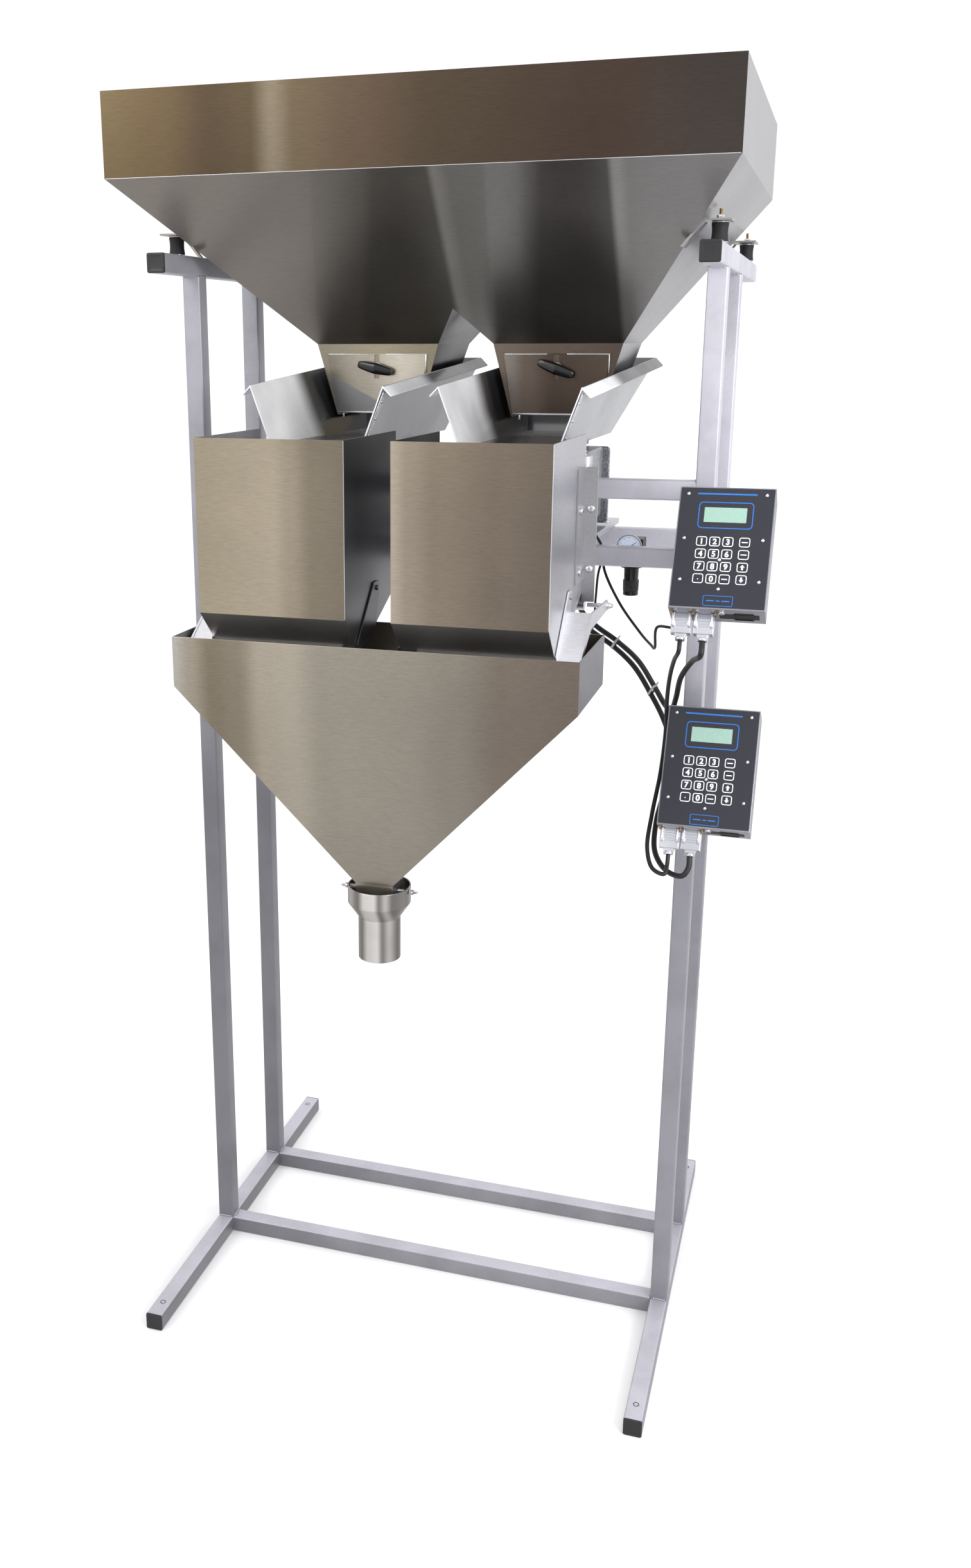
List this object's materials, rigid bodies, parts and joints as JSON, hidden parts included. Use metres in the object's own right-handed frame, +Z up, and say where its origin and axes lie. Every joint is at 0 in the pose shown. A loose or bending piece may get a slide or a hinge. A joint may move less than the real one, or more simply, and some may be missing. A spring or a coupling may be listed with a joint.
{
  "type": "twin-head vibratory net weigh filler",
  "caption": "Free-standing weigh filler: tube frame, supply hopper on rubber isolators, vibratory feeder pans, weigh buckets with doors, a shared chute with round spout, and tilted controllers.",
  "frame": {"origin": "centre of the bounding box's footprint, on the floor", "axes": "+Z up; -Y is the operator's side, where the chute and the controllers' faces are; +X is to the operator's right, where the controllers are"},
  "size_m": [1.044, 0.979, 2.142],
  "materials": {
    "stainless": "brushed stainless sheet",
    "bright_steel": "turned bright steel",
    "powder_coat": "silver-grey powder coat",
    "rubber": "moulded rubber",
    "black_plastic": "moulded black plastic",
    "hammertone": "grey hammertone paint on a casting",
    "aluminium": "mill finish",
    "casing": "folded case with a printed dark blue overlay",
    "gauge": "printed dial behind a clear lens",
    "connector": "metallised hood",
    "cable": "black jacket"
  },
  "bodies": {
    "frame": {"foot_left": "powder_coat", "top_beam_left": "powder_coat", "post_front_left": "powder_coat", "isolator_front_left": "rubber", "post_back_left": "powder_coat", "isolator_back_left": "rubber", "foot_right": "powder_coat", "top_beam_right": "powder_coat", "post_front_right": "powder_coat", "isolator_front_right": "rubber", "post_back_right": "powder_coat", "isolator_back_right": "rubber", "floor_rail_front": "powder_coat", "floor_rail_back": "powder_coat", "upper_rail_front": "powder_coat", "lower_rail_front": "powder_coat", "lower_rail_back": "powder_coat", "supply_hopper": "stainless", "base_plate_left": "aluminium", "feeder_drive_left": "hammertone", "weigh_bucket_left": "stainless", "air_cylinder_left": "aluminium", "scale_bracket_left": "aluminium", "load_cell_left": "aluminium", "base_plate_right": "aluminium", "feeder_drive_right": "hammertone", "weigh_bucket_right": "stainless", "air_cylinder_right": "aluminium", "scale_bracket_right": "aluminium", "load_cell_right": "aluminium", "discharge_chute": "stainless", "chute_hanger": "powder_coat", "spout": "stainless", "regulator_body": "black_plastic", "pressure_gauge": "gauge", "controller_upper": "casing", "connector_upper_1": "connector", "connector_upper_2": "connector", "controller_lower": "casing", "connector_lower_1": "connector", "connector_lower_2": "connector", "cable_scale": "cable", "air_hose": "cable", "cable_upper": "cable", "cable_lower": "cable", "cable_link": "cable"},
    "gate_left": {"gate_left": "stainless"},
    "gate_knob_left": {"gate_knob_left": "black_plastic"},
    "feeder_tray_left": {"feeder_tray_left": "stainless"},
    "bucket_door_left": {"bucket_door_left": "stainless"},
    "cylinder_rod_left": {"cylinder_rod_left": "bright_steel"},
    "thumbscrew_left": {"thumbscrew_left": "bright_steel"},
    "gate_right": {"gate_right": "stainless"},
    "gate_knob_right": {"gate_knob_right": "black_plastic"},
    "feeder_tray_right": {"feeder_tray_right": "stainless"},
    "bucket_door_right": {"bucket_door_right": "stainless"},
    "cylinder_rod_right": {"cylinder_rod_right": "bright_steel"},
    "thumbscrew_right": {"thumbscrew_right": "bright_steel"},
    "regulator_knob": {"regulator_knob": "black_plastic"}
  },
  "joints": [
    {"name": "gate_slide_left", "type": "slide", "parent": "frame", "child": "gate_left", "axis": [0, 0, 1], "range_m": [-0.02, 0.014]},
    {"name": "gate_knob_turn_left", "type": "hinge", "parent": "frame", "child": "gate_knob_left", "pos_m": [-0.1985, 0.0535, 1.724], "axis": [0, -1, 0], "range_deg": [-180, 180]},
    {"name": "feeder_stroke_left", "type": "slide", "parent": "frame", "child": "feeder_tray_left", "axis": [0, -0.9397, 0.342], "range_m": [-0.0012, 0.0012], "stiffness_N_per_m": 60000},
    {"name": "bucket_door_hinge_left", "type": "hinge", "parent": "frame", "child": "bucket_door_left", "pos_m": [-0.1885, -0.3415, 1.397], "axis": [1, 0, 0], "range_deg": [0, 30]},
    {"name": "cylinder_stroke_left", "type": "slide", "parent": "frame", "child": "cylinder_rod_left", "axis": [0, 0, 1], "range_m": [0, 0.07]},
    {"name": "thumbscrew_turn_left", "type": "hinge", "parent": "frame", "child": "thumbscrew_left", "pos_m": [-0.085, -0.4335, 0.929], "axis": [-1, 0, 0], "range_deg": [-180, 180]},
    {"name": "gate_slide_right", "type": "slide", "parent": "frame", "child": "gate_right", "axis": [0, 0, 1], "range_m": [-0.02, 0.014]},
    {"name": "gate_knob_turn_right", "type": "hinge", "parent": "frame", "child": "gate_knob_right", "pos_m": [0.1285, 0.0535, 1.724], "axis": [0, -1, 0], "range_deg": [-180, 180]},
    {"name": "feeder_stroke_right", "type": "slide", "parent": "frame", "child": "feeder_tray_right", "axis": [0, -0.9397, 0.342], "range_m": [-0.0012, 0.0012], "stiffness_N_per_m": 60000},
    {"name": "bucket_door_hinge_right", "type": "hinge", "parent": "frame", "child": "bucket_door_right", "pos_m": [0.1185, -0.3415, 1.397], "axis": [1, 0, 0], "range_deg": [0, 30]},
    {"name": "cylinder_stroke_right", "type": "slide", "parent": "frame", "child": "cylinder_rod_right", "axis": [0, 0, 1], "range_m": [0, 0.07]},
    {"name": "thumbscrew_turn_right", "type": "hinge", "parent": "frame", "child": "thumbscrew_right", "pos_m": [0.015, -0.4335, 0.929], "axis": [1, 0, 0], "range_deg": [-180, 180]},
    {"name": "regulator_knob_turn", "type": "hinge", "parent": "frame", "child": "regulator_knob", "pos_m": [0.286, -0.0325, 1.376], "axis": [0, 0, 1], "range_deg": [-180, 180]}
  ],
  "couplings": [
    {"joint": "cylinder_stroke_left", "follows": "bucket_door_hinge_left", "m_per_rad": 0.1297},
    {"joint": "cylinder_stroke_right", "follows": "bucket_door_hinge_right", "m_per_rad": 0.1297}
  ]
}
